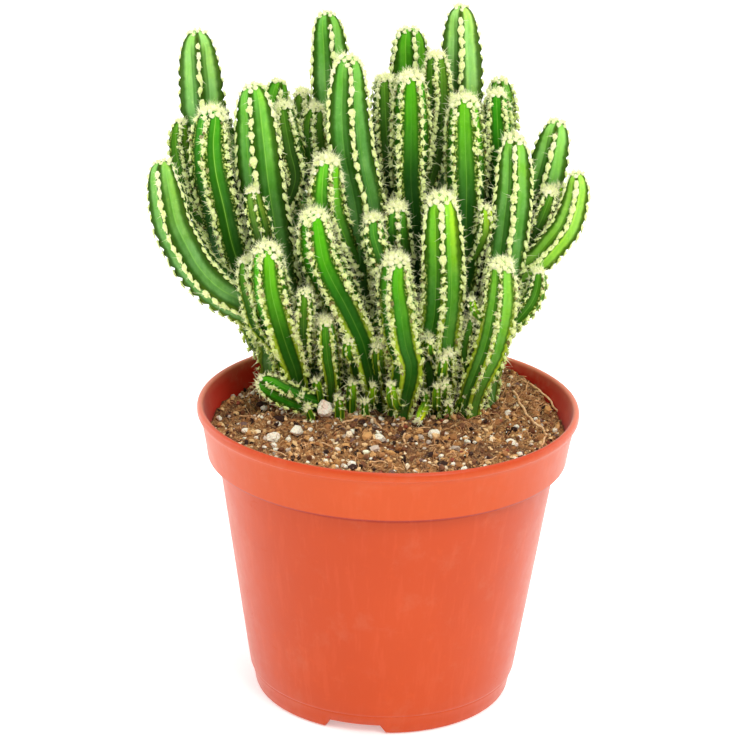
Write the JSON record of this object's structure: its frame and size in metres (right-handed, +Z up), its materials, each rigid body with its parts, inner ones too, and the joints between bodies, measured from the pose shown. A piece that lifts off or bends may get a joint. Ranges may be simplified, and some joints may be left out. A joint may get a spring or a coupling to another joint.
{
  "type": "potted tall cactus",
  "caption": "Clump of upright five-ribbed columnar cactus stems with cream woolly areoles, rooted in soil in a round orange plastic nursery pot with a deep collar.",
  "frame": {"origin": "centre of the pot's round base pad, on the surface the pot stands on", "axes": "+Z up along the pot's axis; -Y towards the viewer of the picture; +X to that viewer's right"},
  "size_m": [0.1374, 0.1239, 0.2131],
  "materials": {
    "pot_plastic": "semi-gloss moulded plastic",
    "soil": "dry granular peat and bark mix",
    "stem_skin": "waxy living skin, satin",
    "areole_wool": "dense short wool",
    "spine": "thin pale bristle",
    "perlite": "matt, rough",
    "root": "dry fibre"
  },
  "bodies": {
    "root": {"pot": "pot_plastic", "soil": "soil", "stem_back_left_tall": "stem_skin", "stem_left_upright": "stem_skin", "stem_left_arching": "stem_skin", "shoot_left_rear": "stem_skin", "stem_left_centre_tall": "stem_skin", "stem_rear_left_hidden": "stem_skin", "stem_back_centre_tall": "stem_skin", "stem_centre_tall": "stem_skin", "stem_back_right_centre": "stem_skin", "stem_mid_right_tall": "stem_skin", "stem_back_right_tallest": "stem_skin", "stem_right_centre": "stem_skin", "stem_right_rear": "stem_skin", "stem_right_upright": "stem_skin", "stem_right_leaning": "stem_skin", "stem_far_right_arching": "stem_skin", "shoot_right_low": "stem_skin", "stem_front_right": "stem_skin", "stem_front_centre_right": "stem_skin", "stem_front_centre": "stem_skin", "stem_front_left_centre": "stem_skin", "stem_front_left": "stem_skin", "stem_inner_centre": "stem_skin", "shoot_inner_left": "stem_skin", "shoot_inner_centre": "stem_skin", "shoot_pale_right": "stem_skin", "shoot_base_left_lying": "stem_skin", "pup_base_front": "stem_skin", "pup_base_centre_left": "stem_skin", "shoot_woolly_left": "stem_skin", "shoot_woolly_right": "stem_skin", "shoot_olive_left": "stem_skin", "shoot_front_left_low": "stem_skin", "shoot_woolly_centre_left": "stem_skin", "shoot_right_inner_low": "stem_skin", "shoot_woolly_centre_right": "stem_skin", "stem_back_right_hidden": "stem_skin", "pup_base_front_right": "stem_skin", "shoot_woolly_far_right": "stem_skin", "shoot_back_centre_thin": "stem_skin", "shoot_front_left_outer": "stem_skin", "shoot_front_left_inner": "stem_skin", "pup_front_centre_low": "stem_skin", "pup_front_right_low": "stem_skin", "pup_front_left_low": "stem_skin", "stem_rear_left": "stem_skin", "stem_rear_left_centre": "stem_skin", "stem_rear_right_centre": "stem_skin", "stem_rear_right": "stem_skin", "shoot_rear_centre": "stem_skin", "perlite_grain_left": "perlite", "perlite_grain_left_inner": "perlite", "perlite_grain_pink": "perlite", "perlite_grain_centre": "perlite", "perlite_grain_right": "perlite", "surface_root_front": "root", "surface_root_right": "root"}
  },
  "joints": []
}
